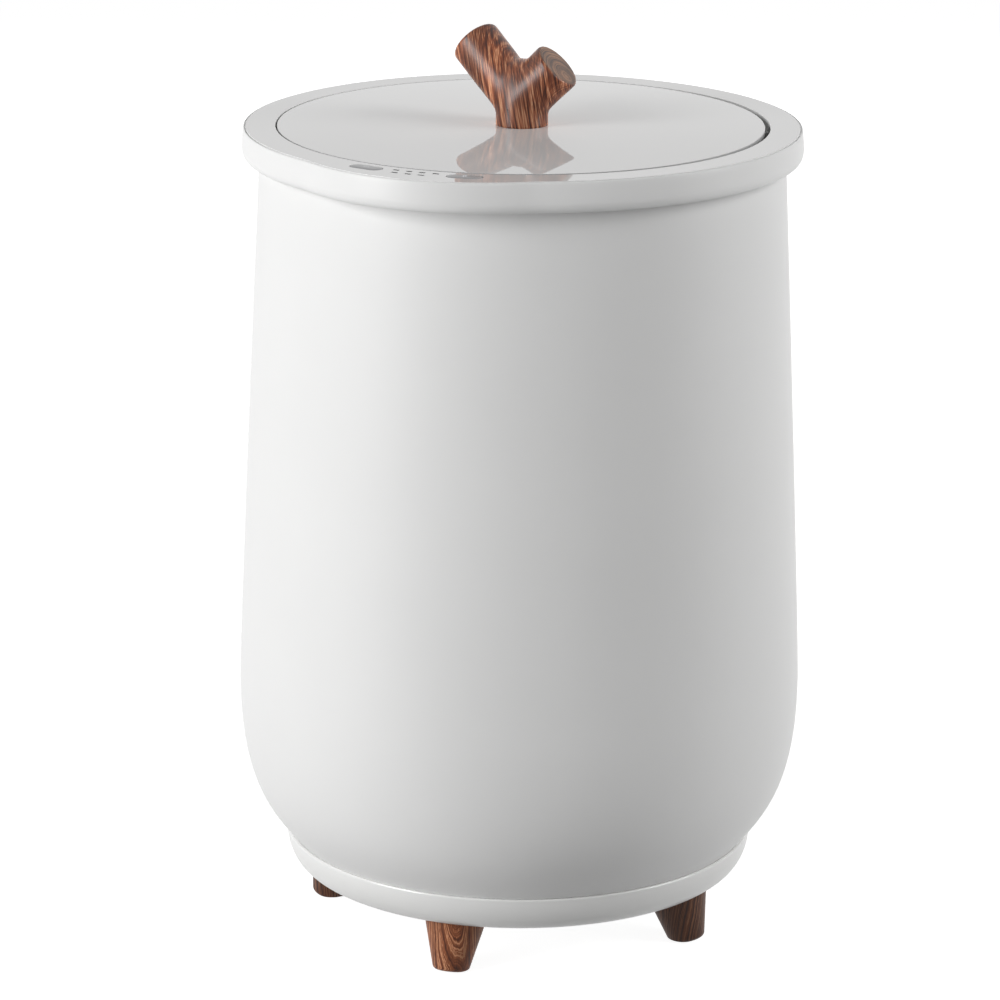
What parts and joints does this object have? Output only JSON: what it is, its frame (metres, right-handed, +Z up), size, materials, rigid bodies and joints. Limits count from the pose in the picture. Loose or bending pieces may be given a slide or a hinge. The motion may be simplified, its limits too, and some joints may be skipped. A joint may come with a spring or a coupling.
{
  "type": "towel warmer bucket",
  "caption": "Free-standing towel warmer: a barrel-shaped housing round a heated tub, a round hinged lid with a forked wooden handle, push buttons on the rim and splayed wooden legs.",
  "frame": {"origin": "on the floor under the middle of the round body", "axes": "+Z up, -Y towards the side where the controls are, +X towards the lid hinge"},
  "size_m": [0.3329, 0.333, 0.5348],
  "materials": {
    "housing_white": "satin white",
    "rim_white": "glossy white",
    "lid_gloss": "glossy off-white",
    "base_white": "satin white",
    "tub_metal": "spun, satin",
    "heater_foil": "smooth foil",
    "heater_plate": "dull",
    "fibre_blanket": "loose fibre",
    "sensor_black": "matte black",
    "cutout_tan": "moulded tan",
    "inner_grey": "moulded light grey",
    "leg_wood": "stained, satin lacquer",
    "handle_wood": "stained, gloss lacquer",
    "zinc_steel": "zinc plated",
    "grey_rubber": "matte grey",
    "terminal_ivory": "moulded ivory",
    "board_green": "solder-masked board",
    "wire_black": "soft sleeve",
    "lens_grey": "smoked clear",
    "led_yellow": "clear epoxy",
    "hinge_white": "white enamel",
    "lid_foam": "open-cell foam",
    "gasket_silicone": "soft silicone",
    "button_grey": "metallised dark grey"
  },
  "bodies": {
    "bucket": {"outer_housing": "housing_white", "top_ring": "rim_white", "inner_bucket": "tub_metal", "heater_film": "heater_foil", "heater_disc": "heater_plate", "insulation_blanket": "fibre_blanket", "temperature_sensor": "sensor_black", "thermal_cutout": "cutout_tan", "bucket_support": "inner_grey", "base_ring": "base_white", "base_plate": "inner_grey", "front_leg": "leg_wood", "left_leg": "leg_wood", "right_leg": "leg_wood", "rear_leg": "leg_wood", "leg_bolts": "zinc_steel", "foot_pads": "grey_rubber", "cord_gland": "grey_rubber", "terminal_block": "terminal_ivory", "power_board": "board_green", "power_board_screws": "zinc_steel", "wiring_harness": "wire_black", "control_board": "board_green", "control_board_screws": "zinc_steel", "button_switches": "sensor_black", "indicator_lenses": "lens_grey", "indicator_leds": "led_yellow", "hinge_bracket": "zinc_steel", "hinge_pin": "zinc_steel", "hinge_bracket_screws": "zinc_steel", "ring_screws": "zinc_steel", "housing_screws": "zinc_steel", "base_plate_screws": "zinc_steel"},
    "lid": {"lid_top_cover": "lid_gloss", "lid_inner_cover": "rim_white", "lid_insulation": "lid_foam", "lid_gasket": "gasket_silicone", "lid_hinge_arm": "hinge_white", "hinge_arm_screws": "zinc_steel", "lid_cover_screws": "zinc_steel", "twig_handle": "handle_wood", "handle_screw": "zinc_steel", "handle_washer": "zinc_steel"},
    "power_button": {"power_button": "button_grey"},
    "timer_button": {"timer_button": "button_grey"}
  },
  "joints": [
    {"name": "lid_hinge", "type": "hinge", "parent": "bucket", "child": "lid", "pos_m": [0.1475, 0, 0.4735], "axis": [0, 1, 0], "range_deg": [0, 95]},
    {"name": "power_press", "type": "slide", "parent": "bucket", "child": "power_button", "axis": [0, 0, -1], "range_m": [0, 0.0008], "stiffness_N_per_m": 800, "springref_m": -0.0005},
    {"name": "timer_press", "type": "slide", "parent": "bucket", "child": "timer_button", "axis": [0, 0, -1], "range_m": [0, 0.0008], "stiffness_N_per_m": 800, "springref_m": -0.0005}
  ]
}
